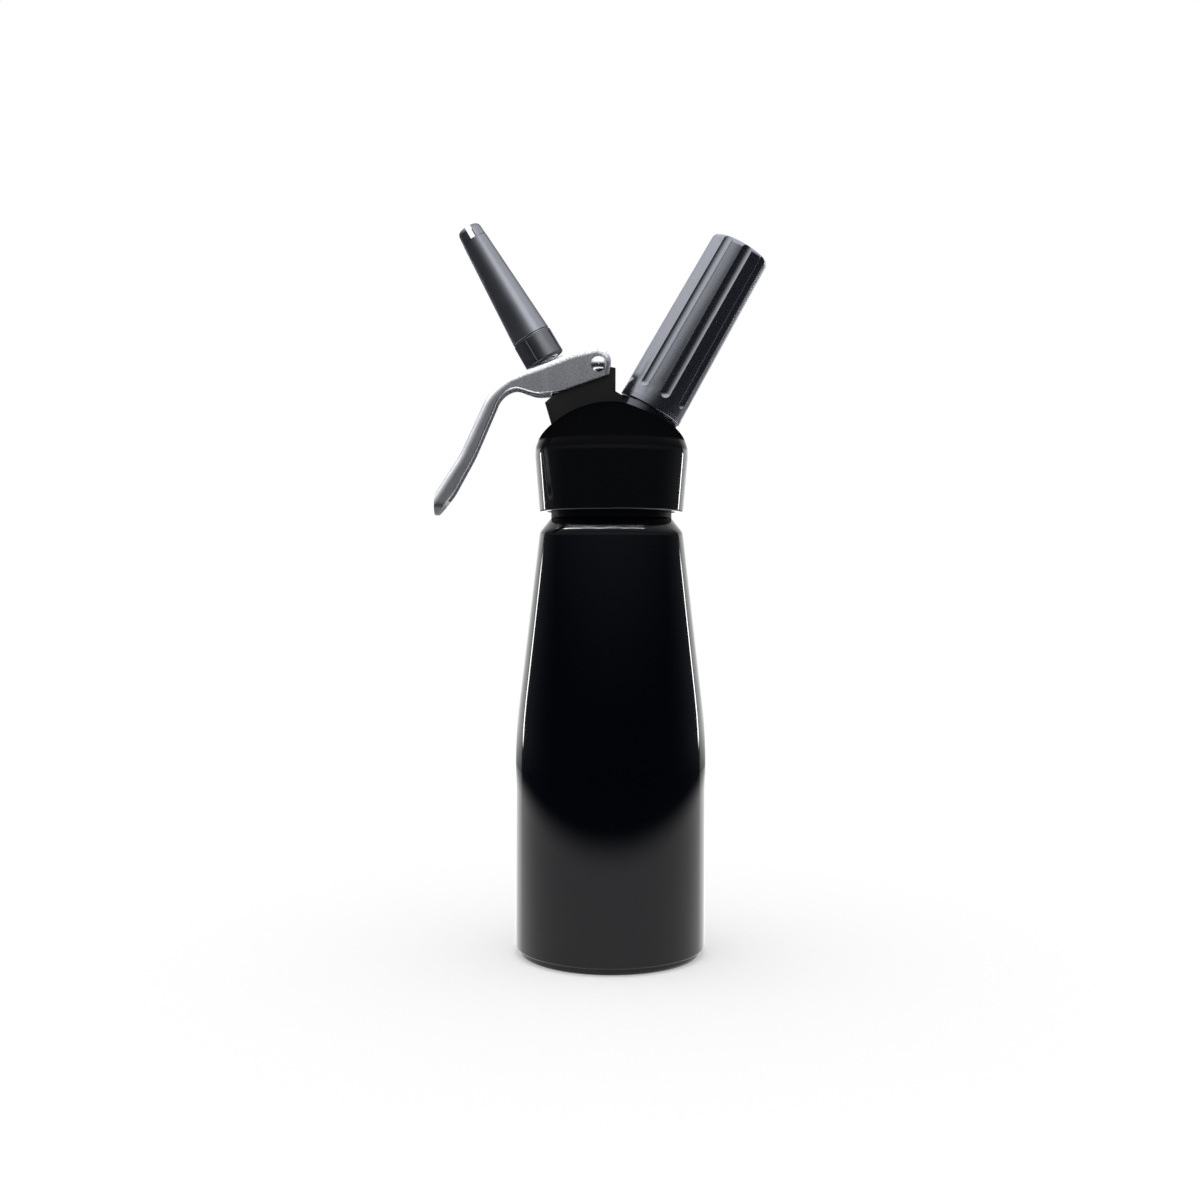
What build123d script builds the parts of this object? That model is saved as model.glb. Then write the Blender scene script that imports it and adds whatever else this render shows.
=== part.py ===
from build123d import *
import math
import os

# Whipped cream dispenser: aluminium bottle, screw-on head with a hand lever,
# a tilted pouring valve with its decorator, and a tilted gas charger holder.
# Millimetres, +Z up, origin at the centre of the bottle's foot.
# The nozzle leans towards -X and the charger holder towards +X.

# ---- clearances ----
run_gap = 0.05        # radial, at a shaft that turns or slides
thread_gap = 0.2      # radial, male thread crest to female bore
part_gap = 0.3        # between pieces that move past each other
seat_gap = 0.02       # between faces that press on each other across a joint
cut = 1.0             # how far a cutting shape runs past the face it cuts

# ---- ring ridges that stand for threads ----
ridge_sunk = 0.4      # how deep a ridge is rooted in its shank
ridge_foot = 0.36     # half width at the root, as a share of the pitch
ridge_crest = 0.1     # half width at the crest, as a share of the pitch

# ---- bottle ----
body_r = 37.9
body_wall = 1.5
foot_r = 36.4
foot_h = 2.6
foot_width = 5.0
dish_rise = 2.5
base_wall = 2.0
bend_r = 236.0
cone_foot_z = 88.8
shoulder_z = 168.0
shoulder_r = 28.6
shoulder_round = 5.0
shoulder_h = 5.8
neck_r = 24.0
neck_length = 22.2
neck_bore_r = 22.0
neck_thread_depth = 1.4
neck_thread_pitch = 4.0
neck_thread_count = 4
neck_thread_top = 2.4
foot_round = 1.2
foot_step_round = 0.9
neck_foot_round = 0.6
lip_round = 0.5
inner_base_round = 4.0

# ---- head cap, measured from the bottle's lip ----
skirt_drop = 19.8
skirt_foot_r = 28.7
skirt_flare = 4.8
dome_r = 36.0
dome_drop = 11.8
dome_round = 14.5
gasket_h = 2.5
gasket_width = 4.6
cavity_h = 5.0
skirt_round = 0.6

# ---- nozzle axis and valve block ----
nozzle_tilt = 30.5
nozzle_drop = 4.7
block_width = 14.0
block_round = 1.6
tenon_width = 13.2
tenon_left = -19.5
tenon_right = 1.5
pin_x = -5.25
pin_rise = 37.9
pin_r = 2.0
lug_r = 4.4
post_x = 1.45
post_rise = 36.7
post_foot_rise = 27.5
post_round = 0.4
ramp_run = 2.4
ramp_fall = 1.4
block_toe = 6.0
block_shoulder = [(22.1, -12.5), (37.4, -8.7), (38.3, -4.3)]  # along and across the nozzle axis
block_shoulder_x = -20.0   # the edges left of this are rounded
seat_reach = 14.0     # how far the holes for the seats run inwards
flange_gap = 0.2      # radial, around the bush's flange
spring_well_gap = 0.5 # radial, wider than the bush, for the spring
nut_room = 0.62       # radius of a nut's room as a share of its flats

# ---- valve, lengths along the nozzle axis ----
seat_s = 16.0
bush_r = 5.0
bush_flange_r = 6.8
bush_flange_h = 2.0
bush_length = 18.0
stem_r = 3.0
stem_bore_r = 1.5
stem_foot_r = 2.1
stem_step = 0.6
stem_end_proud = 1.0
stem_top_proud = 0.4
seal_r = 5.2
seal_h = 2.6
valve_nut_af = 7.0
valve_nut_h = 2.8
oring_r = 0.5
oring_inset = 4.0
flange_s = 45.7
flange_r = 6.6
flange_h = 1.5
spring_r = 4.5
spring_wire = 1.0
spring_turns = 4.0
stem_thread_r = 4.2
stem_thread_length = 8.0
stem_thread_pitch = 1.8
stem_thread_depth = 0.6

# ---- decorator ----
decorator_s = 52.0
decorator_base_r = 8.5
decorator_base_h = 10.8
grip_rib_proud = 0.35
grip_rib_width = 1.1
grip_rib_count = 4
grip_rib_turn = -24.0
grip_rib_short = 2.0  # shorter than the base, both ends together
grip_rib_round = 0.3
base_round = 0.8
decorator_seam_r = 7.9
decorator_length = 61.3
prong_length = 5.4
prong_foot_r = 5.15
prong_tip_r = 4.85
prong_round = 2.2
prong_seam = 0.25     # depth and height of the groove at the prongs' foot
decorator_wall = 1.25
slot_width = 2.4
slot_count = 4
insert_wall = 1.3
insert_length = 9.0
seam_depth = 0.5
seam_height = 0.5
tip_foot_wall = 1.9
tip_foot_rise = 3.0

# ---- lever, measured from its pin; corners are (x, z, corner radius) ----
lever_width = 18.4
cheek_wall = 1.8
handle_width = 13.4
fork_neck_x = -27.0
fork_neck_length = 9.0
fork_neck_round = 12.0
tip_round = 4.5
tip_clear = 15.0
tip_low = 59.2
tip_skim = 0.1
tip_left = -64.95     # the outer end of the tongue
tip_bend = 7.0
lever_reach = 90.0    # longer than the lever, for the shapes that trim it
lever_back_corners = [
    (-69.0, -57.25, 0), (-54.7, -34.8, 40.0), (-41.95, -7.0, 22.0), (-10.8, 5.0, 30.0),
    (6.2, 9.1, 6.2),
]
lever_belly_corners = [
    (4.6, -3.8, 0), (-15.0, -10.8, 30.0), (-24.5, -11.6, 12.0), (-32.6, -8.9, 5.0),
    (-38.5, -11.1, 10.0), (-49.2, -36.0, 60.0), (-57.6, -51.3, 20.0), (-66.4, -62.4, 0),
]
channel_floor = [(7.2, -16.0), (-30.0, -22.0), (-40.0, -52.0)]
channel_end = (4.5, 7.0)      # the channel stops this far short of the tip
channel_mouth = (12.1, 1.0)   # and opens this far beyond it
web_t = 2.2
lever_edge_round = 3.0
lever_rim_round = 0.6
lever_hole_gap = 1.2
cam_r = 1.6
cam_width = 1.8
lever_travel = 10.0
rivet_r = 3.1
rivet_h = 1.8

# ---- charger side, lengths along the charger axis ----
charger_tilt = 29.5
charger_drop = 5.8
collar_r = 12.8
collar_top_t = 30.3
collar_seat_t = 26.9
holder_gap = 0.4
holder_foot_r = 13.25
holder_top_r = 12.3
holder_length = 73.7
holder_round = 2.2
holder_foot_round = 0.5
lip_groove = 0.25       # depth and height of the fine grooves above the holder's foot
lip_groove_step = 0.8
lip_groove_count = 2
holder_bore_r = 9.25
holder_roof = 4.7
holder_insert_h = 10.0
holder_insert_wall = 1.1
flute_count = 9
flute_turn = -69.4
flute_width = 4.6
flute_depth = 1.1
flute_start = 5.4
nipple_thread_r = 10.6
nipple_thread_h = 9.5
nipple_shank_r = 5.0
nipple_foot_t = 11.5
nipple_well_r = 4.7
nipple_well_depth = 6.5
nipple_thread_pitch = 2.2
nipple_thread_depth = 0.8
nipple_thread_count = 3
nipple_thread_start = 1.8
gas_bore_r = 1.1
piercer_r = 1.1
piercer_rise = 4.2
piercer_point_h = 2.0
piercer_tip_r = 0.15
piercer_sunk = 5.0
charger_seal_r = 4.5
charger_seal_h = 1.6
nipple_nut_af = 11.0
nipple_nut_h = 3.5
nipple_nut_seat_t = 17.0
sleeve_r = 3.1
sleeve_h = 2.6
sleeve_wall = 1.1

# ---- derived places ----
lip_z = shoulder_z + shoulder_h + neck_length
neck_crest_r = neck_r + neck_thread_depth
skirt_z = lip_z - skirt_drop
seat_z = lip_z + gasket_h
dome_z = lip_z - dome_drop
nozzle_z = lip_z - nozzle_drop
charger_z = lip_z - charger_drop
pin_z = lip_z + pin_rise
holder_foot_t = collar_top_t + holder_gap
stem_foot_s = seat_s - bush_flange_h - seal_h - valve_nut_h
bush_top_s = seat_s - bush_flange_h + bush_length
stem_top_s = decorator_s + stem_thread_length + stem_top_proud
cheek_inner = lever_width / 2 - cheek_wall


def nozzle(shape):
    """Place a shape made about +Z on the nozzle axis."""
    return Location((0, 0, nozzle_z), (0, -nozzle_tilt, 0)) * shape


def charger(shape):
    """Place a shape made about +Z on the charger axis."""
    return Location((0, 0, charger_z), (0, charger_tilt, 0)) * shape


def nozzle_point(along, across):
    """X and Z of a point on the nozzle axis's own two directions."""
    lean = math.radians(nozzle_tilt)
    x = across * math.cos(lean) - along * math.sin(lean)
    return x, nozzle_z + along * math.cos(lean) + across * math.sin(lean)


def outline(corners):
    """A flat face from (x, y, corner radius) triples."""
    face = make_face(Polyline(*[(x, y) for x, y, _ in corners], close=True)).face()
    for x, y, radius in corners:
        if radius > 0:
            corner = face.vertices().sort_by_distance((x, y, 0))[0]
            face = face.fillet_2d(radius, [corner])
    return face


def turned(corners):
    """A solid turned about Z from (radius, height, corner radius) triples."""
    return revolve(Plane.XZ * outline(corners), Axis.Z, 360)


def side_plate(corners, width):
    """A plate of the given width, centred on Y, from an outline seen from the side."""
    return extrude(Plane.XZ * outline(corners), width / 2, both=True)


def rod(radius, low, high):
    """A cylinder about Z between two heights."""
    standing = (Align.CENTER, Align.CENTER, Align.MIN)
    return Pos(0, 0, low) * Cylinder(radius, high - low, align=standing)


def ring(outer, inner, low, high):
    """A round tube about Z between two heights."""
    return rod(outer, low, high) - rod(inner, low - cut, high + cut)


def hex_nut(across_flats, bore, low, high):
    """A hexagon nut about Z."""
    blank = extrude(RegularPolygon(across_flats / 2, 6, major_radius=False), high - low)
    return Pos(0, 0, low) * blank - rod(bore, low - cut, high + cut)


def thread_ridges(root, depth, pitch, count, low):
    """Ring ridges that stand for a male thread, one solid per ridge."""
    ridges = []
    for turn in range(count):
        z = low + turn * pitch
        half = pitch * ridge_foot
        tip = pitch * ridge_crest
        sunk = root - ridge_sunk
        corners = [
            (sunk, z - half, 0), (root, z - half, 0), (root + depth, z - tip, 0),
            (root + depth, z + tip, 0), (root, z + half, 0), (sunk, z + half, 0),
        ]
        ridges.append(turned(corners))
    return ridges


def bottle():
    shoulder_top = shoulder_z + shoulder_h
    outer = turned([
        (0, dish_rise, 0), (foot_r - foot_width - dish_rise, dish_rise, 0),
        (foot_r - foot_width, 0, lip_round), (foot_r, 0, foot_round), (foot_r, foot_h, 0),
        (body_r, foot_h, foot_step_round), (body_r, cone_foot_z, bend_r),
        (shoulder_r, shoulder_z, shoulder_round), (neck_r, shoulder_top, neck_foot_round),
        (neck_r, lip_z, lip_round), (0, lip_z, 0),
    ])
    slope = (body_r - shoulder_r) / (shoulder_z - cone_foot_z)
    inner_shoulder = shoulder_z - body_wall
    inside = turned([
        (0, dish_rise + base_wall, 0), (body_r - body_wall, dish_rise + base_wall, inner_base_round),
        (body_r - body_wall, cone_foot_z, bend_r),
        (shoulder_r - body_wall + slope * body_wall, inner_shoulder, shoulder_round - body_wall),
        (neck_bore_r, shoulder_top - body_wall, neck_foot_round),
        (neck_bore_r, lip_z + cut, 0), (0, lip_z + cut, 0),
    ])
    low = lip_z - neck_thread_top - (neck_thread_count - 1) * neck_thread_pitch
    for ridge in thread_ridges(neck_r, neck_thread_depth, neck_thread_pitch, neck_thread_count, low):
        outer += ridge
    return outer - inside


def dome_ball():
    """The ball whose upper part is the outside of the dome."""
    return Pos(0, 0, dome_z) * Sphere(dome_r)


def block_bores():
    """The stepped holes along both axes through the block and the dome."""
    nozzle_side = rod(bush_r, seat_s - cut, bush_top_s)
    nozzle_side += rod(bush_flange_r + flange_gap, seat_s - seat_reach, seat_s)
    nozzle_side += rod(bush_r + spring_well_gap, bush_top_s, flange_s)
    charger_side = rod(nipple_shank_r, nipple_nut_seat_t - cut, collar_top_t)
    room = nipple_nut_af * nut_room
    charger_side += rod(room, nipple_nut_seat_t - seat_reach, nipple_nut_seat_t)
    charger_side += rod(collar_r, collar_seat_t, collar_top_t + holder_length)
    return [nozzle(nozzle_side), charger(charger_side)]


def dome_profile():
    """Half section of the cap: flared skirt, tangent corner arc, then the dome's own arc."""
    flare = math.radians(skirt_flare)
    along = Vector(math.sin(flare), math.cos(flare))
    inward = Vector(-math.cos(flare), math.sin(flare))
    foot = Vector(skirt_foot_r, skirt_z)
    ball = Vector(0, dome_z)
    # the corner arc touches both: its centre is dome_round from the skirt
    # and dome_r - dome_round from the ball's centre
    start = foot + inward * dome_round - ball
    half = start.dot(along)
    rise = math.sqrt(half ** 2 - start.length ** 2 + (dome_r - dome_round) ** 2) - half
    centre = ball + start + along * rise
    leave = foot + along * rise
    join = ball + (centre - ball).normalized() * dome_r
    middle = centre + (leave + join - centre * 2).normalized() * dome_round
    top = ball + Vector(0, dome_r)
    lean = math.atan2(join.X, join.Y - dome_z) / 2
    crown = ball + Vector(math.sin(lean), math.cos(lean)) * dome_r
    edges = [
        Line((0, skirt_z), foot), Line(foot, leave), ThreePointArc(leave, middle, join),
        ThreePointArc(join, crown, top), Line(top, (0, skirt_z)),
    ]
    face = make_face(edges).face()
    corner = face.vertices().sort_by_distance((skirt_foot_r, skirt_z, 0))[0]
    return face.fillet_2d(skirt_round, [corner])


def head_cap():
    cap = revolve(Plane.XZ * dome_profile(), Axis.Z, 360)
    cap -= rod(neck_crest_r + thread_gap, skirt_z - cut, seat_z)
    cap -= rod(neck_crest_r - gasket_width, seat_z - cut, seat_z + cavity_h)
    cap -= tenon()
    for bore in block_bores():
        cap -= bore
    return cap


def block_outline():
    """The block from the side: shoulder by the nozzle, root of the hinge lug and the post behind it."""
    lug_side = lug_r * 0.7
    corners = [(*nozzle_point(along, across), 0) for along, across in block_shoulder]
    return corners + [
        (pin_x - lug_side - 2.5, pin_z - lug_side - 2.9, 3.0), (pin_x - lug_side, pin_z - lug_side, 0),
        (pin_x, pin_z, 0), (post_x, lip_z + post_rise, post_round), (post_x, lip_z + post_foot_rise, 0),
        (post_x + ramp_run, lip_z + post_foot_rise - ramp_fall, 0), (post_x + block_toe, dome_z + 24.0, 0),
    ]


def tenon():
    """The foot of the block, let through the dome below the tower."""
    low = seat_z + cavity_h
    length = tenon_right - tenon_left
    height = dome_z + dome_r + cut - low
    return Pos((tenon_left + tenon_right) / 2, 0, low + height / 2) * Box(length, tenon_width, height)


def valve_block():
    tower = side_plate(block_outline(), block_width)
    face_y = block_width / 2 - 0.01
    sides = [e for e in tower.edges() if abs(e.center().Y) > face_y]
    left = [e for e in sides if e.center().X < block_shoulder_x]
    tower = fillet(left, block_round)
    tower += Pos(pin_x, 0, pin_z) * Rot(90, 0, 0) * Cylinder(lug_r, block_width)
    tower -= dome_ball()
    block = tower + (tenon() & dome_ball())
    for bore in block_bores():
        block -= bore
    block -= Pos(pin_x, 0, pin_z) * Rot(90, 0, 0) * Cylinder(pin_r + run_gap, block_width + 2)
    return block


def head_gasket():
    return ring(neck_crest_r, neck_crest_r - gasket_width, lip_z, seat_z)


def charger_collar():
    return charger(ring(collar_r, nipple_shank_r, collar_seat_t, collar_top_t))


def valve_bush():
    low = seat_s - bush_flange_h
    bush = rod(bush_flange_r, low, seat_s) + rod(bush_r, seat_s, bush_top_s)
    bush -= rod(stem_r + run_gap, low - cut, bush_top_s + cut)
    return nozzle(bush)


def oring_places():
    """Centres of the stem's two O-rings along the nozzle axis."""
    return [seat_s + oring_inset, bush_top_s - oring_inset]


def stem_oring(place):
    outer = stem_r + run_gap - seat_gap
    return nozzle(Pos(0, 0, place) * Torus(outer - oring_r, oring_r))


def valve_stem():
    waist = stem_foot_s + valve_nut_h + seal_h
    root = stem_thread_r - stem_thread_depth
    stem = rod(stem_r, waist, decorator_s - stem_step)
    stem += rod(stem_foot_r, stem_foot_s - stem_end_proud, waist)
    stem += rod(root, decorator_s - stem_step, stem_top_s)
    count = int(stem_thread_length / stem_thread_pitch) - 1
    start = decorator_s + stem_thread_pitch
    for ridge in thread_ridges(root, stem_thread_depth, stem_thread_pitch, count, start):
        stem += ridge
    # cream enters by two cross holes above the seal and leaves at the top
    inlet = seat_s - bush_flange_h + stem_bore_r + stem_step
    stem -= rod(stem_bore_r, inlet - stem_bore_r / 2, stem_top_s + cut)
    for turn in (0, 90):
        stem -= Pos(0, 0, inlet) * Rot(0, 0, turn) * Rot(90, 0, 0) * Cylinder(stem_bore_r, stem_r * 3)
    for place in oring_places():
        stem -= Pos(0, 0, place) * Torus(stem_r + run_gap - seat_gap - oring_r, oring_r)
    return nozzle(stem)


def stem_flange():
    return nozzle(ring(flange_r, stem_r, flange_s - flange_h, flange_s))


def valve_seal():
    low = stem_foot_s + valve_nut_h
    return nozzle(ring(seal_r, stem_foot_r, low, low + seal_h))


def valve_nut():
    return nozzle(hex_nut(valve_nut_af, stem_foot_r, stem_foot_s, stem_foot_s + valve_nut_h))


def return_spring():
    """An open coil between the bush and the stem's flange."""
    low = bush_top_s + spring_wire / 2
    high = flange_s - flange_h - spring_wire / 2
    path = Helix(pitch=(high - low) / spring_turns, height=high - low, radius=spring_r)
    section = Plane(origin=path @ 0, z_dir=path % 0) * Circle(spring_wire / 2)
    return nozzle(Pos(0, 0, low) * sweep(section, path=path, is_frenet=True))


def decorator_base():
    top = decorator_s + decorator_base_h
    shell_r = decorator_base_r - grip_rib_proud
    base = turned([
        (0, decorator_s, 0), (shell_r, decorator_s, base_round), (shell_r - 0.1, top, base_round / 2),
        (0, top, 0),
    ])
    for turn in range(grip_rib_count):
        rib = Box(grip_rib_width, grip_rib_proud * 2 + cut, decorator_base_h - grip_rib_short)
        rib = fillet(rib.edges().filter_by(Axis.Z), grip_rib_round)
        middle = decorator_s + decorator_base_h / 2
        rib = Pos(0, -(shell_r - cut / 2), middle) * rib
        base += Rot(0, 0, grip_rib_turn + turn * 360 / grip_rib_count) * rib
    insert_r = stem_thread_r + thread_gap + insert_wall
    base -= rod(insert_r, decorator_s - cut, decorator_s + insert_length)
    base -= rod(stem_thread_r + thread_gap, decorator_s, top + cut)
    return nozzle(base)


def decorator_insert():
    bore = stem_thread_r + thread_gap
    return nozzle(ring(bore + insert_wall, bore, decorator_s, decorator_s + insert_length))


def decorator_tip():
    foot = decorator_s + decorator_base_h
    tip = decorator_s + decorator_length
    prong = tip - prong_length
    seam_r = decorator_seam_r - seam_depth
    outer = turned([
        (0, foot, 0), (seam_r, foot, 0), (seam_r, foot + seam_height, 0),
        (decorator_seam_r, foot + seam_height, 0.2), (prong_foot_r, prong, 0),
        (prong_tip_r, tip, prong_round), (0, tip, 0),
    ])
    inner = turned([
        (0, foot - cut, 0), (stem_thread_r + thread_gap, foot - cut, 0),
        (decorator_seam_r - tip_foot_wall, foot + tip_foot_rise, 0),
        (prong_foot_r - decorator_wall, prong, 0), (prong_tip_r - decorator_wall, tip + cut, 0),
        (0, tip + cut, 0),
    ])
    tube = outer - inner
    tube -= ring(prong_foot_r * 2, prong_foot_r - prong_seam, prong - prong_seam, prong)
    across = decorator_seam_r * 3
    for turn in range(slot_count // 2):
        slot = Pos(0, 0, prong + prong_length) * Box(slot_width, across, prong_length * 2)
        tube -= Rot(0, 0, turn * 360 / slot_count) * slot
    return nozzle(tube)


def from_pin(corners):
    return [(pin_x + x, pin_z + z, radius) for x, z, radius in corners]


def lever_channel():
    """What is hollow inside the lever: the back's outline moved in by the web, open below."""
    back = lever_back_corners
    shifted = []
    for spot, (x, z, radius) in enumerate(back):
        before = back[max(spot - 1, 0)]
        after = back[min(spot + 1, len(back) - 1)]
        angle_in = math.atan2(z - before[1], x - before[0]) if spot else None
        angle_out = math.atan2(after[1] - z, after[0] - x) if after != (x, z, radius) else None
        angle_in = angle_out if angle_in is None else angle_in
        angle_out = angle_in if angle_out is None else angle_out
        middle = (angle_in + angle_out) / 2
        reach = web_t / math.cos((angle_in - angle_out) / 2)
        inner_radius = max(radius - web_t, 0) if radius > 5 else 0
        shifted.append((x + reach * math.sin(middle), z - reach * math.cos(middle), inner_radius))
    first = shifted[0]
    shifted[0] = (first[0] + channel_end[0], first[1] + channel_end[1], 0)
    below = [(x, z, 0) for x, z in channel_floor]
    below.append((first[0] + channel_mouth[0], first[1] + channel_mouth[1], 0))
    return from_pin(shifted + below)


def stem_hole_place():
    """The web's hole follows the nozzle axis."""
    return nozzle(rod(stem_thread_r + lever_hole_gap, flange_s - 4, decorator_s + 4))


def lever_cams():
    """Two rounded pads under the web that press on the stem's flange."""
    pads = []
    for side in (-1, 1):
        y = side * (flange_r - cam_width / 2 - 0.2)
        nose = Rot(90, 0, 0) * Cylinder(cam_r, cam_width)
        neck = Pos(0, 0, 2.5) * Box(cam_r * 2, cam_width, 5.0)
        pads.append(nozzle(Pos(0, y, flange_s + seat_gap + cam_r) * (nose + neck)))
    return pads


def lever_plan(inset):
    """The lever from above: broad fork by the hinge, slim handle; moved in by a wall."""
    fork, slim = lever_width / 2 - inset, handle_width / 2 - inset
    half = [
        (pin_x + lever_width, fork), (pin_x + fork_neck_x, fork),
        (pin_x + fork_neck_x - fork_neck_length, slim), (pin_x - lever_reach, slim),
    ]
    corners = [(x, y, fork_neck_round if 0 < spot < 3 else 0) for spot, (x, y) in enumerate(half)]
    corners += [(x, -y, radius) for x, y, radius in reversed(corners)]
    return Pos(0, 0, pin_z - lever_reach) * extrude(outline(corners), lever_reach * 2)


def tip_end():
    """The lever seen from the handle side: a tongue with a rounded lower end."""
    low = pin_z - tip_low
    side = handle_width / 2 + tip_skim / 10
    high = low + tip_clear
    top = pin_z + lever_width
    corners = [
        (-lever_width, top, 0), (-lever_width, high, 0), (-side, high, 0),
        (-side, low, tip_round), (side, low, tip_round),
        (side, high, 0), (lever_width, high, 0), (lever_width, top, 0),
    ]
    return Pos(pin_x - lever_reach, 0, 0) * extrude(Plane.YZ * outline(corners), lever_reach * 2)


def tip_side():
    """The lever seen from the side: its outer end turns down to a point."""
    far_x, far_z, _ = lever_back_corners[0]
    bend_x, bend_z, _ = lever_back_corners[1]
    rise = (bend_z - far_z) / (bend_x - far_x)
    stop_x = bend_x - tip_clear / 5
    corners = [
        (tip_left, -lever_reach, 0), (tip_left, far_z + (tip_left - far_x) * rise + tip_skim, tip_bend),
        (stop_x, far_z + (stop_x - far_x) * rise + tip_skim, 0), (-lever_reach, bend_z, 0),
        (-lever_reach, lever_reach, 0), (lever_reach, lever_reach, 0), (lever_reach, -lever_reach, 0),
    ]
    return side_plate(from_pin(corners), lever_width * 2)


def lever():
    side = from_pin(lever_back_corners + lever_belly_corners)
    body = side_plate(side, lever_width + 2) & lever_plan(0)
    body = fillet([e for e in side_edges(body) if on_back(e.center())], lever_edge_round)
    body = fillet([e for e in side_edges(body) if on_belly(e.center())], lever_rim_round)
    body &= tip_end()
    body &= tip_side()
    inner = cheek_inner * 2
    hollow = side_plate(lever_channel(), lever_width) & lever_plan(cheek_wall)
    hollow += Pos(pin_x, 0, pin_z) * Rot(90, 0, 0) * Cylinder(lug_r + 0.4, inner)
    hollow += Pos(pin_x + 5.0, 0, pin_z - 4.0) * Box(10.0, inner, 11.0)
    body -= hollow
    for pad in lever_cams():
        body += pad
    body -= stem_hole_place()
    body -= nozzle(rod(decorator_base_r + part_gap, decorator_s - part_gap, decorator_s + 20))
    body -= Pos(pin_x, 0, pin_z) * Rot(90, 0, 0) * Cylinder(pin_r, lever_width + 2)
    return body


def side_edges(body):
    """Edges that bound the lever's two sides, without the upright joints inside a side."""
    slim = handle_width / 2 - 0.01
    return [e for e in body.edges() if abs(e.center().Y) > slim and abs((e % 0.5).Z) < 0.999]


def on_belly(point):
    """Is this point on the cheeks' free edge?"""
    x = point.X - pin_x
    z = point.Z - pin_z
    belly = lever_belly_corners
    for (x0, z0, _), (x1, z1, _) in zip(belly, belly[1:]):
        if x1 <= x <= x0:
            level = z0 + (z1 - z0) * (x - x0) / (x1 - x0)
            return z < level + 1.0
    return False


def on_back(point):
    """Is this point on the lever's outside rather than on the cheeks' free edge?"""
    x = point.X - pin_x
    z = point.Z - pin_z
    if x > -8:
        return z > 2
    back = lever_back_corners
    for (x0, z0, _), (x1, z1, _) in zip(back, back[1:]):
        if x0 <= x <= x1:
            level = z0 + (z1 - z0) * (x - x0) / (x1 - x0)
            return z > level - 2.6
    return False


def lever_pin():
    half = lever_width / 2
    shank = Cylinder(pin_r, lever_width)
    ball_r = (rivet_r ** 2 + rivet_h ** 2) / (2 * rivet_h)
    room = Pos(0, 0, half + rivet_h / 2) * Box(rivet_r * 3, rivet_r * 3, rivet_h)
    dome = Pos(0, 0, half + rivet_h - ball_r) * Sphere(ball_r) & room
    other = Rot(180, 0, 0) * dome
    return Pos(pin_x, 0, pin_z) * Rot(90, 0, 0) * (shank + dome + other)


def charger_holder():
    foot = holder_foot_t
    top = foot + holder_length
    holder = turned([
        (0, foot, 0), (holder_foot_r, foot, holder_foot_round), (holder_top_r, top, holder_round),
        (0, top, 0),
    ])
    lean = math.degrees(math.atan2(holder_foot_r - holder_top_r, holder_length))
    groove_r = (flute_width ** 2 / 4 + flute_depth ** 2) / (2 * flute_depth)
    start = foot + flute_start + flute_width / 2
    for step in range(1, lip_groove_count + 1):
        low = foot + step * lip_groove_step
        holder -= ring(holder_foot_r * 2, holder_foot_r - lip_groove, low, low + lip_groove)
    for turn in range(flute_count):
        groove = rod(groove_r, 0, holder_length) + Sphere(groove_r)
        groove = Pos(0, -(holder_foot_r + groove_r - flute_depth), start) * Rot(-lean, 0, 0) * groove
        holder -= Rot(0, 0, flute_turn + turn * 360 / flute_count) * groove
    holder -= rod(holder_bore_r, foot - cut, top - holder_roof)
    insert_r = nipple_thread_r + thread_gap + holder_insert_wall
    holder -= rod(insert_r, foot - cut, foot + holder_insert_h)
    return charger(holder)


def holder_insert():
    bore = nipple_thread_r + thread_gap
    low = holder_foot_t
    return charger(ring(bore + holder_insert_wall, bore, low, low + holder_insert_h))


def charger_nipple():
    low = collar_top_t
    high = low + nipple_thread_h
    root = nipple_thread_r - nipple_thread_depth
    body = rod(root, low, high) + rod(nipple_shank_r, nipple_nut_seat_t - nipple_nut_h, low)
    body += rod(sleeve_r - sleeve_wall, nipple_foot_t, nipple_nut_seat_t - nipple_nut_h)
    start = low + nipple_thread_start
    for ridge in thread_ridges(root, nipple_thread_depth, nipple_thread_pitch, nipple_thread_count, start):
        body += ridge
    body -= rod(nipple_well_r, high - nipple_well_depth, high + cut)
    body -= rod(gas_bore_r, nipple_foot_t - cut, high)
    return charger(body)


def piercing_pin():
    """A sharp pin pressed in the nipple, its point in the well."""
    floor = collar_top_t + nipple_thread_h - nipple_well_depth
    neck = floor + piercer_rise - piercer_point_h
    shank = rod(piercer_r, floor - piercer_sunk, neck)
    point = Pos(0, 0, neck + piercer_point_h / 2) * Cone(piercer_r, piercer_tip_r, piercer_point_h)
    return charger(shank + point)


def charger_seal():
    floor = collar_top_t + nipple_thread_h - nipple_well_depth
    return charger(ring(charger_seal_r, piercer_r, floor, floor + charger_seal_h))


def nipple_nut():
    high = nipple_nut_seat_t
    return charger(hex_nut(nipple_nut_af, nipple_shank_r, high - nipple_nut_h, high))


def check_sleeve():
    high = nipple_nut_seat_t - nipple_nut_h
    return charger(ring(sleeve_r, sleeve_r - sleeve_wall, high - sleeve_h, high))


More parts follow.
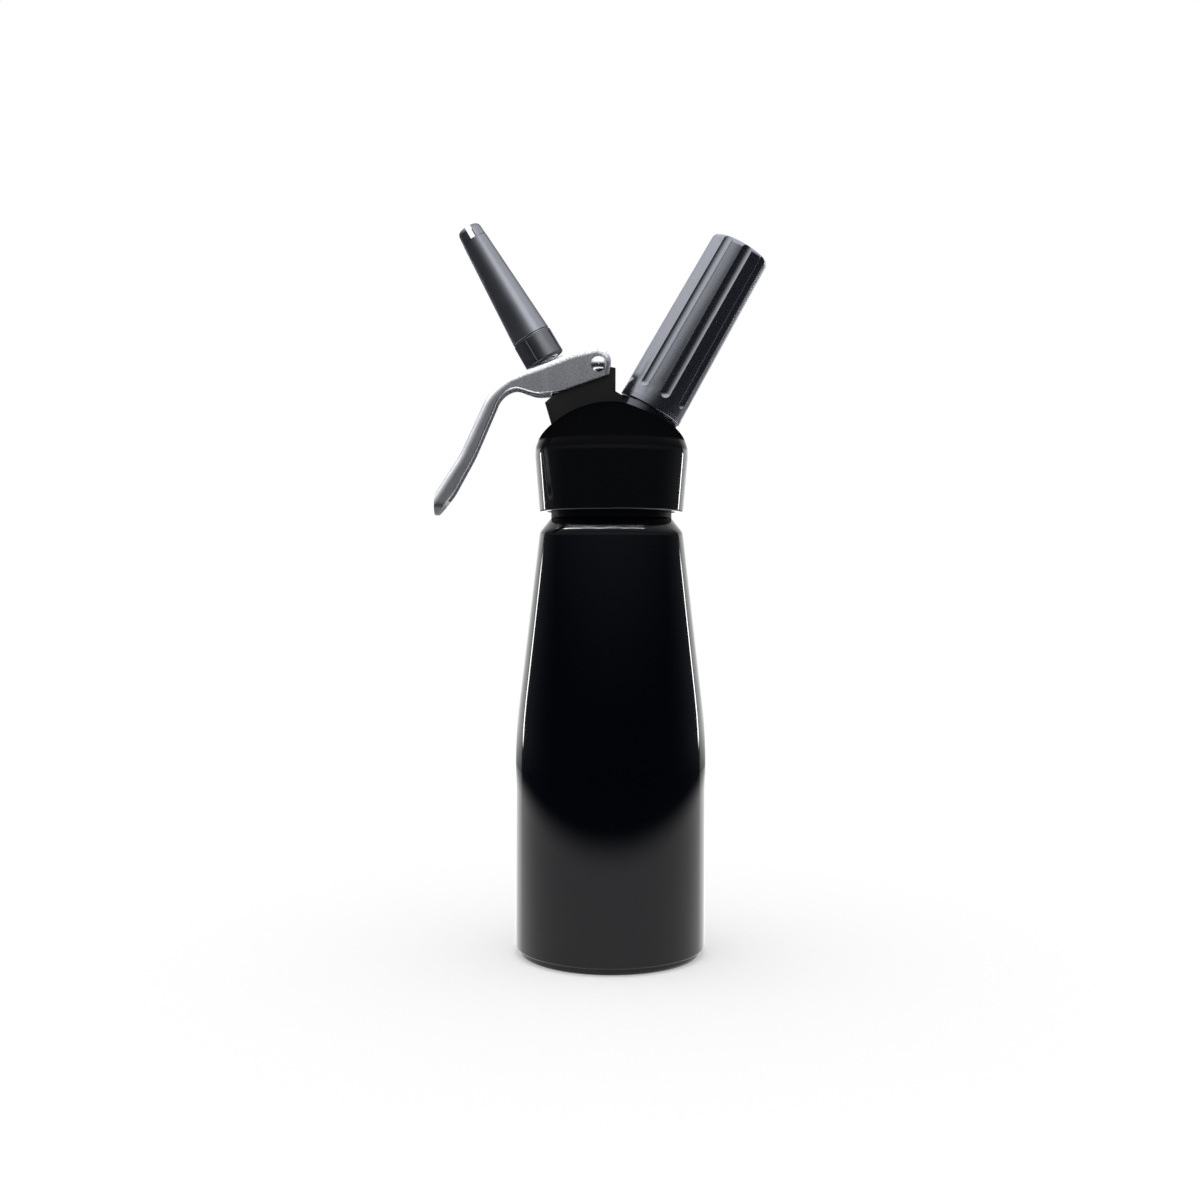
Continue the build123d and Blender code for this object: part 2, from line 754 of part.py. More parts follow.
def pieces():
    """Every sub-part by node name."""
    made = {
        "bottle": bottle(),
        "head_cap": head_cap(),
        "valve_block": valve_block(),
        "head_gasket": head_gasket(),
        "charger_collar": charger_collar(),
        "valve_bush": valve_bush(),
        "valve_stem": valve_stem(),
        "stem_flange": stem_flange(),
        "valve_seal": valve_seal(),
        "valve_nut": valve_nut(),
        "return_spring": return_spring(),
        "decorator_base": decorator_base(),
        "decorator_insert": decorator_insert(),
        "decorator_tip": decorator_tip(),
        "lever": lever(),
        "lever_pin": lever_pin(),
        "charger_holder": charger_holder(),
        "holder_insert": holder_insert(),
        "charger_nipple": charger_nipple(),
        "piercing_pin": piercing_pin(),
        "charger_seal": charger_seal(),
        "nipple_nut": nipple_nut(),
        "check_sleeve": check_sleeve(),
    }
    for name, place in zip(("stem_oring_inner", "stem_oring_outer"), oring_places()):
        made[name] = stem_oring(place)
    return made


def cam_travel():
    """How far the stem slides for the lever's full travel, in millimetres."""
    x, z = nozzle_point(flange_s + seat_gap + cam_r, 0)
    reach_x, reach_z = x - pin_x, z - pin_z
    turn = math.radians(lever_travel)
    moved_x = reach_x * math.cos(turn) - reach_z * math.sin(turn)
    moved_z = reach_x * math.sin(turn) + reach_z * math.cos(turn)
    lean = math.radians(nozzle_tilt)
    return (moved_x - reach_x) * math.sin(lean) - (moved_z - reach_z) * math.cos(lean)


os.makedirs("parts", exist_ok=True)
for name, shape in pieces().items():
    export_step(shape, f"parts/{name}.step")
print("stem slides", round(cam_travel(), 3), "mm over", lever_travel, "degrees")
print("per radian", round(cam_travel() / math.radians(lever_travel), 3), "mm")
print("nozzle base", nozzle_point(decorator_s, 0), "pin", pin_x, pin_z)
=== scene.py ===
import math

import bpy
from mathutils import Matrix, Vector


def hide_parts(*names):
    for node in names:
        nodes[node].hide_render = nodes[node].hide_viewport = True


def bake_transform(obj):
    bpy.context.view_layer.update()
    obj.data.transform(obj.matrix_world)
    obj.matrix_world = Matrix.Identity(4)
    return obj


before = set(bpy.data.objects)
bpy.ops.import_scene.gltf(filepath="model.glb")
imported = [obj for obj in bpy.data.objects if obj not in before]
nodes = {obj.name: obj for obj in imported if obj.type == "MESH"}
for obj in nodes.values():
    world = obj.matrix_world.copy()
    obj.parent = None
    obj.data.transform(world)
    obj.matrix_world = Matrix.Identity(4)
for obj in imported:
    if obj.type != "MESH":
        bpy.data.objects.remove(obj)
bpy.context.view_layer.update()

scene = bpy.context.scene
white = (1.0, 1.0, 1.0)
print("loaded", len(nodes), "nodes")


def feed(tree, value, socket):
    # a number or colour is set on the socket, and another socket is linked to it
    if isinstance(value, (int, float)):
        socket.default_value = value
    elif isinstance(value, tuple):
        socket.default_value = (*value, 1.0)
    else:
        tree.links.new(value, socket)


def addNode(tree, kind, x, y, **settings):
    # x and y are the node's place in the shader editor
    node = tree.nodes.new(kind)
    node.location = (x, y)
    for name, value in settings.items():
        setattr(node, name, value)
    return node


def addMath(tree, operation, x, y, *values):
    node = addNode(tree, "ShaderNodeMath", x, y, operation=operation)
    for value, socket in zip(values, node.inputs):
        feed(tree, value, socket)
    return node.outputs[0]


def fade(tree, x, y, value, low, high, start=0.0, end=1.0):
    # a soft step from start, where the value is low, to end, where it is high
    node = addNode(tree, "ShaderNodeMapRange", x, y, interpolation_type="SMOOTHSTEP")
    feed(tree, value, node.inputs["Value"])
    for name, number in (("From Min", low), ("From Max", high), ("To Min", start), ("To Max", end)):
        feed(tree, number, node.inputs[name])
    return node.outputs["Result"]


def readAxes(tree, x, y, kind):
    # X, Y and Z of the piece's own place or normal, or of the direction in the world
    place = addNode(tree, "ShaderNodeTexCoord", x, y)
    split = addNode(tree, "ShaderNodeSeparateXYZ", x + 200, y)
    feed(tree, place.outputs[kind], split.inputs[0])
    return split.outputs


def colourSocket(sockets, name):
    # a Mix node has sockets of several kinds under one name
    return [socket for socket in sockets if socket.name == name and socket.type == "RGBA"][0]


def mixColour(tree, x, y, factor, low, high, blend="MIX"):
    node = addNode(tree, "ShaderNodeMix", x, y, data_type="RGBA", blend_type=blend)
    feed(tree, factor, node.inputs["Factor"])
    feed(tree, low, colourSocket(node.inputs, "A"))
    feed(tree, high, colourSocket(node.inputs, "B"))
    return colourSocket(node.outputs, "Result")


def greyColour(tree, x, y, value):
    # one value in all three channels
    node = addNode(tree, "ShaderNodeCombineColor", x, y)
    for socket in node.inputs:
        feed(tree, value, socket)
    return node.outputs[0]


def addNoise(tree, x, y, place, scale, detail):
    node = addNode(tree, "ShaderNodeTexNoise", x, y)
    for name, value in (("Vector", place), ("Scale", scale), ("Detail", detail)):
        feed(tree, value, node.inputs[name])
    return node.outputs["Fac"]


def newGroup(name, inputs, outputs):
    tree = bpy.data.node_groups.new(name, "ShaderNodeTree")
    for label, value in inputs.items():
        socket = tree.interface.new_socket(label, in_out="INPUT", socket_type="NodeSocketFloat")
        socket.default_value = value
    for label in outputs:
        tree.interface.new_socket(label, in_out="OUTPUT", socket_type="NodeSocketFloat")
    return tree, addNode(tree, "NodeGroupInput", -900, 0), addNode(tree, "NodeGroupOutput", 700, 0)


grainDetail = {"grain": 3.0, "blotch": 4.0}


def makeGrain():
    # fine even grain, and a slow blotch, both from the piece's own coordinates
    tree, given, result = newGroup("fineGrain", {"Scale": 2000.0, "Blotch Scale": 60.0}, ["Grain", "Blotch"])
    place = addNode(tree, "ShaderNodeTexCoord", -700, 200).outputs["Object"]
    grain = addNoise(tree, -400, 200, place, given.outputs["Scale"], grainDetail["grain"])
    blotch = addNoise(tree, -400, -100, place, given.outputs["Blotch Scale"], grainDetail["blotch"])
    feed(tree, grain, result.inputs["Grain"])
    feed(tree, blotch, result.inputs["Blotch"])
    return tree


hairlineDetail = 2.0


def makeHairlines():
    # thin scratches: along the piece's Z where Fine is the larger, round it where Length is
    tree, given, result = newGroup("hairlines", {"Fine": 900.0, "Length": 20.0}, ["Lines"])
    place = addNode(tree, "ShaderNodeTexCoord", -700, 200)
    stretch = addNode(tree, "ShaderNodeCombineXYZ", -600, -100)
    for label, axis in (("Fine", "X"), ("Fine", "Y"), ("Length", "Z")):
        feed(tree, given.outputs[label], stretch.inputs[axis])
    scaled = addNode(tree, "ShaderNodeVectorMath", -400, 100, operation="MULTIPLY")
    feed(tree, place.outputs["Object"], scaled.inputs[0])
    feed(tree, stretch.outputs[0], scaled.inputs[1])
    lines = addNoise(tree, -200, 100, scaled.outputs[0], 1.0, hairlineDetail)
    feed(tree, lines, result.inputs["Lines"])
    return tree


dustEdges = {"speck": (0.06, 0.16), "upward": (0.1, 0.9)}


def makeDust():
    # sparse pale specks, more of them on surfaces that look up
    tree, given, result = newGroup("dustSpecks", {"Scale": 1200.0, "Cover": 0.5}, ["Dust"])
    place = addNode(tree, "ShaderNodeTexCoord", -700, 200)
    cells = addNode(tree, "ShaderNodeTexVoronoi", -400, 200)
    feed(tree, place.outputs["Object"], cells.inputs["Vector"])
    feed(tree, given.outputs["Scale"], cells.inputs["Scale"])
    speck = fade(tree, -200, 200, cells.outputs["Distance"], *dustEdges["speck"], 1.0, 0.0)
    upward = fade(tree, -200, -100, readAxes(tree, -700, -100, "Normal")["Z"], *dustEdges["upward"])
    some = addMath(tree, "MULTIPLY", 0, 0, speck, upward)
    dust = addMath(tree, "MULTIPLY", 200, 0, some, given.outputs["Cover"])
    feed(tree, dust, result.inputs["Dust"])
    return tree


groups = {"grain": makeGrain(), "hairlines": makeHairlines(), "dust": makeDust()}
print("shader groups:", ", ".join(groups))


def useGroup(tree, name, x, y, values):
    node = addNode(tree, "ShaderNodeGroup", x, y, node_tree=groups[name])
    for label, value in values.items():
        feed(tree, value, node.inputs[label])
    return node.outputs


def bump(tree, x, y, height, strength, distance, before=None):
    node = addNode(tree, "ShaderNodeBump", x, y)
    for name, value in (("Height", height), ("Strength", strength), ("Distance", distance)):
        feed(tree, value, node.inputs[name])
    if before is not None:
        feed(tree, before, node.inputs["Normal"])
    return node.outputs[0]


def newMaterial(name, sockets):
    material = bpy.data.materials.new(name)
    material.use_nodes = True
    tree = material.node_tree
    shader = tree.nodes["Principled BSDF"]
    shader.location = (600, 0)
    tree.nodes["Material Output"].location = (900, 0)
    for label, value in sockets.items():
        feed(tree, value, shader.inputs[label])
    return material, tree, shader.inputs


def zoneMask(tree, y, zone):
    # 0 to 1 across a zone of the piece, by its own place or its own normal
    axes = readAxes(tree, -900, y, zone["reads"])
    return fade(tree, -500, y, axes[zone["axis"]], *zone["edge"])


def nodeBox(name):
    # lowest and highest corner of a node, in metres
    solid = nodes[name]
    points = [solid.matrix_world @ corner.co for corner in solid.data.vertices]
    return [Vector([end(point[axis] for point in points) for axis in range(3)]) for end in (min, max)]


bottleTop = nodeBox("bottle")[1].z
lacquerBase = {"plainShine": 0.5, "rubEdge": (0.3, 0.75), "peelDepth": 0.0002}
bottleLook = {
    **lacquerBase,
    "deep": (0.0006, 0.001, 0.0022), "colour": (0.0012, 0.0018, 0.0034),
    "peel": {"Scale": 900.0, "Blotch Scale": 25.0}, "peelBump": 0.002,
    "rubs": {"Fine": 600.0, "Length": 30.0}, "roughness": (0.05, 0.06),
    "sockets": {"Metallic": 0.0, "IOR": 1.33},
    "zones": [
        # the threaded neck, then the shoulder and all else that looks up
        {
            "reads": "Object", "axis": "Z", "edge": (bottleTop - 0.0225, bottleTop - 0.0221),
            "roughness": 0.5, "shine": 0.2,
        },
        {"reads": "Normal", "axis": "Z", "edge": (0.16, 0.3), "roughness": 0.1, "shine": 0.15},
    ],
}
headLook = {
    **bottleLook,
    "deep": (0.0028, 0.003, 0.0034), "colour": (0.0036, 0.0039, 0.0044),
    "peelBump": 0.003, "roughness": (0.05, 0.08),
    "sockets": {"Metallic": 0.0, "IOR": 1.4},
    "zones": [
        # the foot of the dome, then its top
        {"reads": "Normal", "axis": "Z", "edge": (0.02, 0.2), "roughness": 0.15, "shine": 0.03},
        {"reads": "Normal", "axis": "Z", "edge": (0.08, 0.45), "roughness": 0.15, "shine": 0.0},
    ],
}


def makeLacquer(name, look):
    # sprayed coat over metal: clear top, slight orange peel, hairline rubs,
    # and zones where the coat is duller
    material, tree, inputs = newMaterial(name, look["sockets"])
    grain = useGroup(tree, "grain", -600, 300, look["peel"])
    rubs = useGroup(tree, "hairlines", -600, 0, look["rubs"])
    tone = mixColour(tree, -200, 300, grain["Blotch"], look["deep"], look["colour"])
    rough = fade(tree, -200, 0, rubs["Lines"], *look["rubEdge"], *look["roughness"])
    shine = look["plainShine"]
    for count, zone in enumerate(look["zones"]):
        y = -300 - 300 * count
        mask = zoneMask(tree, y, zone)
        dull = addMath(tree, "MULTIPLY", -200, y, mask, zone["roughness"])
        rough = addMath(tree, "MAXIMUM", 0, y, rough, dull)
        level = fade(tree, -200, y - 150, mask, 0.0, 1.0, look["plainShine"], zone["shine"])
        shine = addMath(tree, "MINIMUM", 0, y - 150, shine, level)
    feed(tree, tone, inputs["Base Color"])
    feed(tree, rough, inputs["Roughness"])
    feed(tree, shine, inputs["Specular IOR Level"])
    peel = bump(tree, 300, -500, grain["Grain"], look["peelBump"], look["peelDepth"])
    feed(tree, peel, inputs["Normal"])
    return material


leverLow = nodeBox("lever")[0]
metalBase = {
    "pitEdge": (0.35, 0.65), "wearEdge": (-0.6, 0.5), "grainDepth": 0.0001,
    "sockets": {"Metallic": 1.0},
}
holderLook = {
    **metalBase,
    "dark": (0.27, 0.28, 0.315), "colour": (0.33, 0.34, 0.38), "speck": (0.24, 0.25, 0.28),
    "grain": {"Scale": 3000.0, "Blotch Scale": 40.0}, "grainBump": 0.006,
    "lines": {"Fine": 500.0, "Length": 25.0}, "linesBump": 0.006, "roughness": (0.21, 0.25),
}
collarLook = {
    **holderLook,
    "dark": (0.1, 0.103, 0.12), "colour": (0.15, 0.155, 0.18), "speck": (0.1, 0.103, 0.12),
    "lines": {"Fine": 40.0, "Length": 3000.0}, "linesBump": 0.02, "roughness": (0.16, 0.2),
}
leverLook = {
    **metalBase,
    "dark": (0.44, 0.45, 0.475), "colour": (0.62, 0.63, 0.66), "speck": (0.93, 0.94, 0.97),
    "grain": {"Scale": 1500.0, "Blotch Scale": 120.0}, "grainBump": 0.3,
    "lines": {"Fine": 700.0, "Length": 60.0}, "linesBump": 0.04, "roughness": (0.3, 0.4),
    # the cheeks are blasted, the handle is smoother, and its tip is darkened with painted shade
    "blasted": {"reads": "Object", "axis": "X", "edge": (leverLow.x + 0.0202, leverLow.x + 0.0342)},
    "tip": {"reads": "Object", "axis": "Z", "edge": (leverLow.z + 0.0058, leverLow.z + 0.0028)},
    "tipColour": (0.1, 0.102, 0.11),
}
pinLook = {
    **metalBase,
    "dark": (0.74, 0.74, 0.76), "colour": (0.86, 0.86, 0.87), "speck": (0.78, 0.78, 0.8),
    "grain": {"Scale": 1800.0, "Blotch Scale": 200.0}, "grainBump": 0.03,
    "lines": {"Fine": 2400.0, "Length": 2400.0}, "linesBump": 0.03, "roughness": (0.12, 0.22),
}
steelLook = {
    **metalBase,
    "dark": (0.56, 0.56, 0.58), "colour": (0.7, 0.7, 0.71), "speck": (0.6, 0.6, 0.62),
    "grain": {"Scale": 1500.0, "Blotch Scale": 90.0}, "grainBump": 0.05,
    "lines": {"Fine": 60.0, "Length": 2600.0}, "linesBump": 0.12, "roughness": (0.2, 0.34),
}
springLook = {
    **steelLook,
    "dark": (0.42, 0.42, 0.43), "colour": (0.58, 0.58, 0.59), "roughness": (0.25, 0.4),
}
brassLook = {
    **steelLook,
    "dark": (0.56, 0.4, 0.17), "colour": (0.74, 0.57, 0.28), "speck": (0.6, 0.44, 0.2),
}


def makeMetal(name, look):
    # bare metal: grain of the blasting or turning, stains and polished rubs
    material, tree, inputs = newMaterial(name, look["sockets"])
    grain = useGroup(tree, "grain", -600, 300, look["grain"])
    lines = useGroup(tree, "hairlines", -600, 0, look["lines"])
    tone = mixColour(tree, -200, 450, grain["Blotch"], look["dark"], look["colour"])
    pits = fade(tree, -400, 300, grain["Grain"], *look["pitEdge"], 1.0, 0.0)
    height = grain["Grain"]
    if "blasted" in look:
        blasted = zoneMask(tree, -300, look["blasted"])
        pits = addMath(tree, "MULTIPLY", -200, 200, pits, blasted)
        height = addMath(tree, "MULTIPLY", -200, -300, height, blasted)
    tone = mixColour(tree, 0, 450, pits, tone, look["speck"])
    # painted shade: the base colour is darkened towards the lever's lowest tip
    if "tip" in look:
        tone = mixColour(tree, 200, 450, zoneMask(tree, -600, look["tip"]), tone, look["tipColour"])
    wear = addMath(tree, "SUBTRACT", 0, 0, lines["Lines"], pits)
    rough = fade(tree, 200, 0, wear, *look["wearEdge"], *look["roughness"])
    grained = bump(tree, 0, -300, height, look["grainBump"], look["grainDepth"])
    lined = bump(tree, 200, -300, lines["Lines"], look["linesBump"], look["grainDepth"], grained)
    feed(tree, tone, inputs["Base Color"])
    feed(tree, rough, inputs["Roughness"])
    feed(tree, lined, inputs["Normal"])
    return material


mouldedBase = {"sheenEdge": (0.3, 0.7), "grainDepth": 0.0001}
towerLook = {
    **mouldedBase,
    "dark": (0.0075, 0.008, 0.009), "colour": (0.0105, 0.011, 0.012),
    "grain": {"Scale": 2600.0, "Blotch Scale": 60.0}, "grainBump": 0.06, "roughness": (0.42, 0.55),
    "sockets": {"Metallic": 0.0, "IOR": 1.4},
}
tipLook = {
    **mouldedBase,
    "dark": (0.2, 0.206, 0.232), "colour": (0.26, 0.268, 0.3),
    "grain": {"Scale": 2200.0, "Blotch Scale": 80.0}, "grainBump": 0.002, "roughness": (0.28, 0.32),
    "sockets": {"Metallic": 0.92, "Specular Tint": (0.25, 0.25, 0.25)},
}
gripLook = {
    **tipLook,
    "dark": (0.11, 0.113, 0.125), "colour": (0.14, 0.145, 0.16), "roughness": (0.3, 0.38),
}
rubberLook = {
    **mouldedBase,
    "dark": (0.012, 0.012, 0.012), "colour": (0.024, 0.024, 0.024),
    "grain": {"Scale": 1600.0, "Blotch Scale": 200.0}, "grainBump": 0.12, "roughness": (0.6, 0.8),
    "sockets": {"Metallic": 0.0, "IOR": 1.45},
    "dust": {"Cover": 0.2}, "dustColour": (0.2, 0.2, 0.2),
}


def makeMoulded(name, look):
    # an even satin or rubbery skin: fine spark texture, handling sheen and, on rubber, dust
    material, tree, inputs = newMaterial(name, look["sockets"])
    grain = useGroup(tree, "grain", -600, 300, look["grain"])
    tone = mixColour(tree, -200, 300, grain["Blotch"], look["dark"], look["colour"])
    if "dust" in look:
        dust = useGroup(tree, "dust", -600, -300, look["dust"])
        tone = mixColour(tree, 0, 300, dust["Dust"], tone, look["dustColour"])
    rough = fade(tree, 0, 0, grain["Blotch"], *look["sheenEdge"], *look["roughness"])
    spark = bump(tree, 300, -500, grain["Grain"], look["grainBump"], look["grainDepth"])
    feed(tree, tone, inputs["Base Color"])
    feed(tree, rough, inputs["Roughness"])
    feed(tree, spark, inputs["Normal"])
    return material


steelNodes = [
    "valve_bush", "valve_stem", "stem_flange", "valve_nut",
    "decorator_insert", "holder_insert", "piercing_pin",
]
rubberNodes = [
    "head_gasket", "valve_seal", "stem_oring_inner", "stem_oring_outer", "charger_seal", "check_sleeve",
]
finishes = [
    (makeLacquer, "bottleLacquer", bottleLook, ["bottle"]),
    (makeLacquer, "headLacquer", headLook, ["head_cap"]),
    (makeMoulded, "towerSatin", towerLook, ["valve_block"]),
    (makeMetal, "holderSatin", holderLook, ["charger_holder"]),
    (makeMetal, "collarSatin", collarLook, ["charger_collar"]),
    (makeMetal, "leverCast", leverLook, ["lever"]),
    (makeMetal, "pinPolished", pinLook, ["lever_pin"]),
    (makeMetal, "steelTurned", steelLook, steelNodes),
    (makeMetal, "springWire", springLook, ["return_spring"]),
    (makeMetal, "brassTurned", brassLook, ["charger_nipple", "nipple_nut"]),
    (makeMoulded, "tipPlastic", tipLook, ["decorator_tip"]),
    (makeMoulded, "gripPlastic", gripLook, ["decorator_base"]),
    (makeMoulded, "sealRubber", rubberLook, rubberNodes),
]
for makeFinish, name, look, pieces in finishes:
    material = makeFinish(name, look)
    for piece in pieces:
        for materialSlot in nodes[piece].material_slots:
            materialSlot.material = material
print(len(finishes), "finishes on", sum(len(pieces) for _, _, _, pieces in finishes), "nodes")


def makeSpring():
    # a copy of the return spring's coil takes the node's place; the real coil shortens as the stem slides
    # in, one end staying on the bush and the other going with the stem, but nothing here moves the copy
    solid = nodes["return_spring"]
    coil = bpy.data.objects.new("returnCoil", solid.data.copy())
    scene.collection.objects.link(coil)
    coil.matrix_world = solid.matrix_world
    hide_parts("return_spring")
    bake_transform(coil)


makeSpring()


camera = {
    "place": (-0.00444, -0.576, 0.153), "lens": 43.2, "sensor": 36.0, "nearest": 0.01,
    "down": 1.19, "roll": 0.17,  # degrees
}


def makeCamera():
    data = bpy.data.cameras.new("studioCamera")
    data.lens = camera["lens"]
    data.sensor_width = camera["sensor"]
    data.clip_start = camera["nearest"]
    body = bpy.data.objects.new("studioCamera", data)
    scene.collection.objects.link(body)
    tilt = Matrix.Rotation(math.radians(90 - camera["down"]), 4, "X")
    roll = Matrix.Rotation(math.radians(camera["roll"]), 4, "Z")
    body.matrix_world = Matrix.Translation(camera["place"]) @ tilt @ roll
    scene.camera = body


makeCamera()
print("camera", camera["lens"], "mm")


table = {
    "radius": 0.46, "centre": (0.0, 0.12, 0.0), "sides": 96,
    "colour": 0.9, "fadeStart": 0.33, "roughness": 0.06,
    "matte": (0.9, 0.9, 0.9), "glow": 0.26,  # as the eye sees it
    "sheen": 0.9,  # as shiny pieces reflect it
}


def joinShaders(tree, kind, x, y, *sources):
    node = addNode(tree, kind, x, y)
    for source, socket in zip(sources, node.inputs):
        feed(tree, source, socket)
    return node.outputs[0]


def addGlow(tree, kind, x, y, colour, strength):
    node = addNode(tree, kind, x, y)
    feed(tree, colour, node.inputs["Color"])
    feed(tree, strength, node.inputs["Strength"])
    return node.outputs[0]


def makeTableFinish():
    # white and even for the eye, and a glossy white disc that fades out at its rim for the rest
    material, tree, inputs = newMaterial("tableWhite", {"Roughness": table["roughness"]})
    shader = tree.nodes["Principled BSDF"].outputs[0]
    place = addNode(tree, "ShaderNodeTexCoord", -900, 0)
    offset = addNode(tree, "ShaderNodeVectorMath", -700, 0, operation="DISTANCE")
    feed(tree, place.outputs["Object"], offset.inputs[0])
    offset.inputs[1].default_value = table["centre"]
    distance = offset.outputs["Value"]
    edge = fade(tree, -500, 0, distance, table["fadeStart"], table["radius"], table["colour"], 0.0)
    path = addNode(tree, "ShaderNodeLightPath", -700, 300).outputs
    seen = addMath(tree, "MAXIMUM", -300, 100, edge, path["Is Camera Ray"])
    feed(tree, greyColour(tree, -100, 100, seen), inputs["Base Color"])
    matte = addNode(tree, "ShaderNodeBsdfDiffuse", 100, 300)
    feed(tree, table["matte"], matte.inputs["Color"])
    glow = addGlow(tree, "ShaderNodeEmission", 100, 450, white, table["glow"])
    pale = joinShaders(tree, "ShaderNodeAddShader", 300, 350, matte.outputs[0], glow)
    reflected = addMath(tree, "MULTIPLY", -300, 600, edge, path["Is Glossy Ray"])
    sheen = addMath(tree, "MULTIPLY", -100, 600, reflected, table["sheen"])
    shine = addGlow(tree, "ShaderNodeEmission", 100, 600, white, sheen)
    polished = joinShaders(tree, "ShaderNodeAddShader", 800, 550, shader, shine)
    chosen = joinShaders(tree, "ShaderNodeMixShader", 1000, 200, path["Is Camera Ray"], polished, pale)
    output = tree.nodes["Material Output"]
    output.location = (1200, 200)
    feed(tree, chosen, output.inputs[0])
    return material


def makeTable():
    bpy.ops.object.select_all(action="DESELECT")
    bpy.ops.mesh.primitive_circle_add(
        vertices=table["sides"], radius=table["radius"], fill_type="NGON", location=table["centre"],
    )
    top = bpy.context.object
    top.name = "tableTop"
    bpy.ops.object.transform_apply(location=True)
    top.data.materials.append(makeTableFinish())


makeTable()
print("table", table["radius"], "m in radius")


# powers are in watts, and a lamp lights only the nodes that it names
shoulderLamps = {
    "height": 0.48, "deep": 0.045, "lap": 0.012, "wattsPerArea": 380.0,
    "path": [
        (-0.36, 0.236), (-0.303, 0.087), (-0.215, -0.03), (-0.08, -0.119), (0.085, -0.118), (0.21, -0.042),
    ],
}
panels = {
    "nozzlePanel": {
        "place": (0.23, -0.375, 0.44), "towards": (-0.045, 0.0, 0.265), "across": 0.42, "power": 0.5,
        "lights": ["decorator_tip", "decorator_base"],
    },
    "leverPanel": {
        "place": (-0.29, 0.02, 0.53), "towards": (-0.03, 0.0, 0.23), "across": 0.4, "power": 0.7,
        "lights": ["lever"],
    },
    "holderPanel": {
        "place": (0.42, 0.29, 0.11), "towards": (0.045, 0.0, 0.25), "across": 0.24, "power": 0.04,
        "lights": ["charger_holder"],
    },
}


def addLamp(name, data, placed, lights):
    lamp = bpy.data.objects.new(name, data)
    scene.collection.objects.link(lamp)
    lamp.matrix_world = placed
    lamp.visible_camera = False
    lamp.visible_diffuse = False
    lit = bpy.data.collections.new(name + "Lights")
    for node in lights:
        lit.objects.link(nodes[node])
    lamp.light_linking.receiver_collection = lit


def makePanel(name, panel):
    # a round panel that only some pieces reflect
    data = bpy.data.lights.new(name, "AREA")
    data.shape = "DISK"
    data.size = panel["across"]
    data.energy = panel["power"]
    aim = Vector(panel["towards"]) - Vector(panel["place"])
    turn = aim.to_track_quat("-Z", "Y").to_matrix().to_4x4()
    addLamp(name, data, Matrix.Translation(panel["place"]) @ turn, panel["lights"])


def makeTube(name, first, last):
    # a slim lamp above the shoulder, from one point of the path to the next, for the thin
    # highlight under the skirt
    (x0, y0), (x1, y1) = first, last
    data = bpy.data.lights.new(name, "AREA")
    data.shape = "RECTANGLE"
    data.size = math.hypot(x1 - x0, y1 - y0) + shoulderLamps["lap"]
    data.size_y = shoulderLamps["deep"]
    data.energy = shoulderLamps["wattsPerArea"] * data.size * data.size_y
    place = Matrix.Translation(((x0 + x1) / 2, (y0 + y1) / 2, shoulderLamps["height"]))
    turn = Matrix.Rotation(math.atan2(y1 - y0, x1 - x0), 4, "Z")
    addLamp(name, data, place @ turn, ["bottle"])


for name, panel in panels.items():
    makePanel(name, panel)
path = shoulderLamps["path"]
for spot in range(len(path) - 1):
    makeTube("shoulderTube" + str(spot), path[spot], path[spot + 1])
print(len(panels), "panels and", len(path) - 1, "shoulder lamps")


# side, back and strip edges are cosines of the turn away from straight behind the object, and feet
# and tops are sines of the height above the level
studio = {
    "even": 0.85, "front": (0.012, 0.016, 0.024),
    "side": 0.1, "sideEdge": (-0.3, 0.6),
    "back": 1.4, "backEdge": (0.71, 0.75), "backFoot": (-0.16, -0.06), "backLow": 0.1,
    "strip": 14.0, "stripEdge": (0.68, 0.703), "stripBlur": 0.01,
    "stripTop": (0.085, 0.102), "stripFoot": (-0.1, -0.07),
    "roof": 1.45, "roofFoot": (0.1, 0.75),
}
nearZero = 0.001


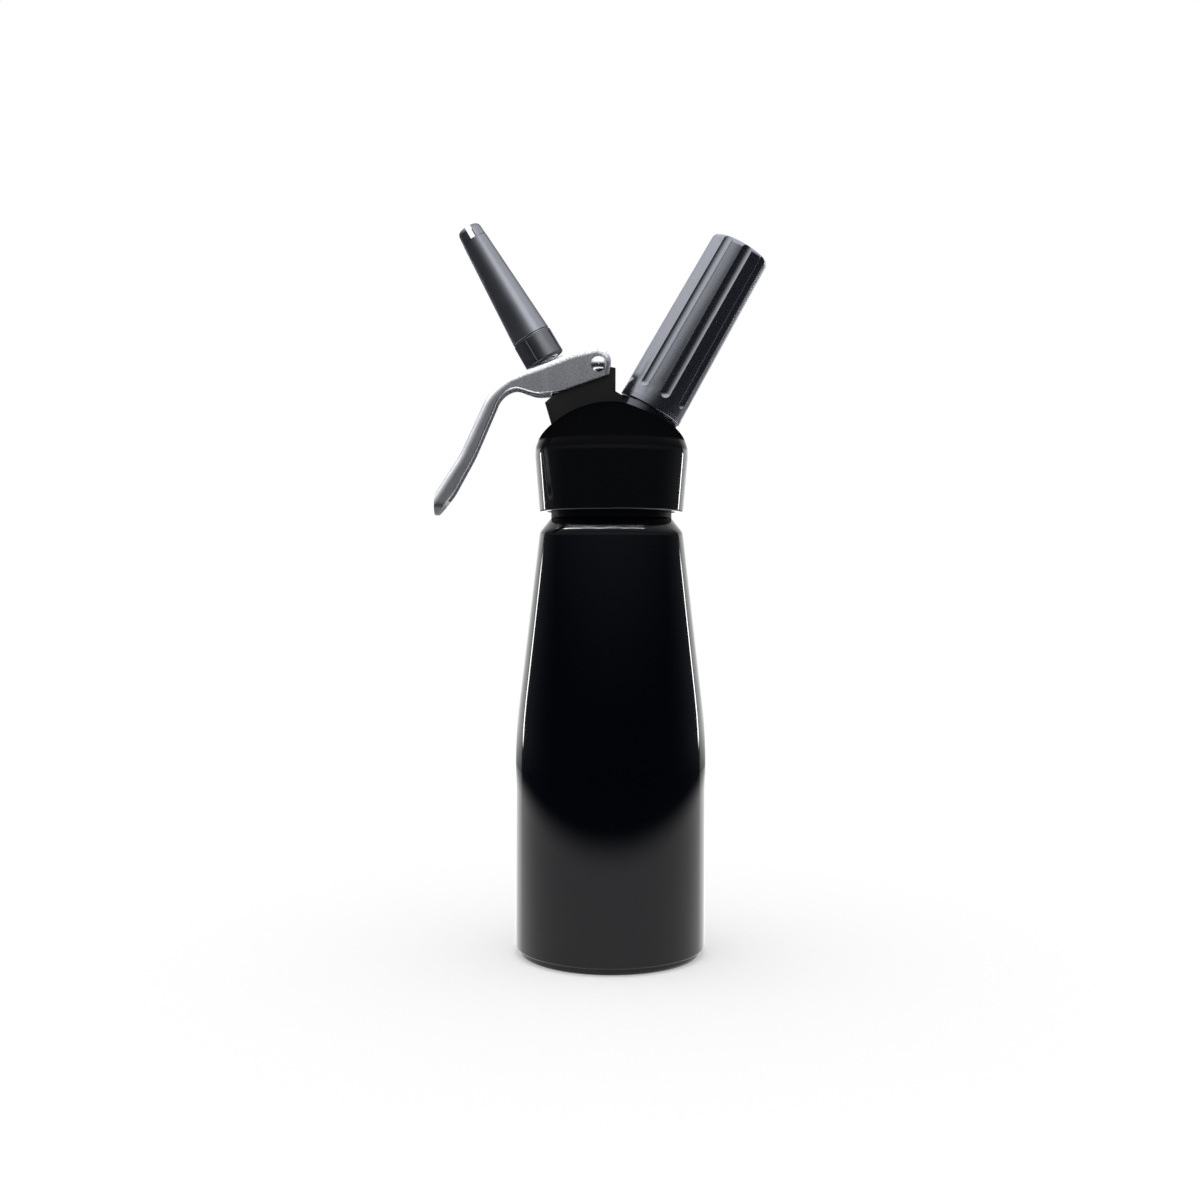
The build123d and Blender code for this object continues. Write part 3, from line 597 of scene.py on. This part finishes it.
def makeReflections(tree):
    # what shiny surfaces see: a wall behind with dim sides, a bright strip at each of its edges,
    # a roof, and a dark front
    x, y, z = readAxes(tree, -1200, 0, "Generated")
    across = addMath(tree, "MULTIPLY", -800, -200, x, x)
    along = addMath(tree, "MULTIPLY", -800, -50, y, y)
    flat = addMath(tree, "SQRT", -500, -100, addMath(tree, "ADD", -650, -100, across, along))
    behind = addMath(tree, "DIVIDE", -350, -50, y, addMath(tree, "MAXIMUM", -420, -200, flat, nearZero))

    side = fade(tree, -150, 600, behind, *studio["sideEdge"], 0.0, studio["side"])
    panel = fade(tree, -150, 200, behind, *studio["backEdge"], 0.0, studio["back"])
    wall = addMath(tree, "MAXIMUM", -50, 400, side, panel)
    low = fade(tree, -150, 400, z, *studio["backFoot"], studio["backLow"], 1.0)
    back = addMath(tree, "MULTIPLY", 0, 300, wall, low)

    start, end = studio["stripEdge"]
    blur = studio["stripBlur"]
    stripIn = fade(tree, -150, 0, behind, start - blur, start)
    stripOut = fade(tree, -150, -200, behind, end, end + blur, 1.0, 0.0)
    stripTop = fade(tree, -150, -400, z, *studio["stripTop"], studio["strip"], 0.0)
    stripFoot = fade(tree, -150, -500, z, *studio["stripFoot"])
    ends = addMath(tree, "MULTIPLY", 0, -400, stripTop, stripFoot)
    strip = addMath(tree, "MULTIPLY", 50, -100, stripIn, addMath(tree, "MULTIPLY", 0, -300, stripOut, ends))

    roof = fade(tree, -150, -600, z, *studio["roofFoot"], 0.0, studio["roof"])
    total = addMath(tree, "ADD", 250, -100, addMath(tree, "MAXIMUM", 150, 100, back, roof), strip)
    bright = greyColour(tree, 400, -100, total)
    return mixColour(tree, 600, -100, 1.0, studio["front"], bright, "ADD")


def makeStudio():
    # white round the object for the eye, even light for matt surfaces, and panels for what shines
    world = bpy.data.worlds.new("studio")
    scene.world = world
    world.use_nodes = True
    tree = world.node_tree
    tree.nodes.clear()
    backdrop = addGlow(tree, "ShaderNodeBackground", 800, 300, white, 1.0)
    even = addGlow(tree, "ShaderNodeBackground", 800, 100, white, studio["even"])
    shine = addGlow(tree, "ShaderNodeBackground", 800, -100, makeReflections(tree), 1.0)
    path = addNode(tree, "ShaderNodeLightPath", 800, 600).outputs
    light = joinShaders(tree, "ShaderNodeMixShader", 1000, 0, path["Is Glossy Ray"], even, shine)
    shown = joinShaders(tree, "ShaderNodeMixShader", 1200, 0, path["Is Camera Ray"], light, backdrop)
    feed(tree, shown, addNode(tree, "ShaderNodeOutputWorld", 1400, 0).inputs[0])


makeStudio()
scene.view_settings.view_transform = "Standard"
print("studio light is in place")
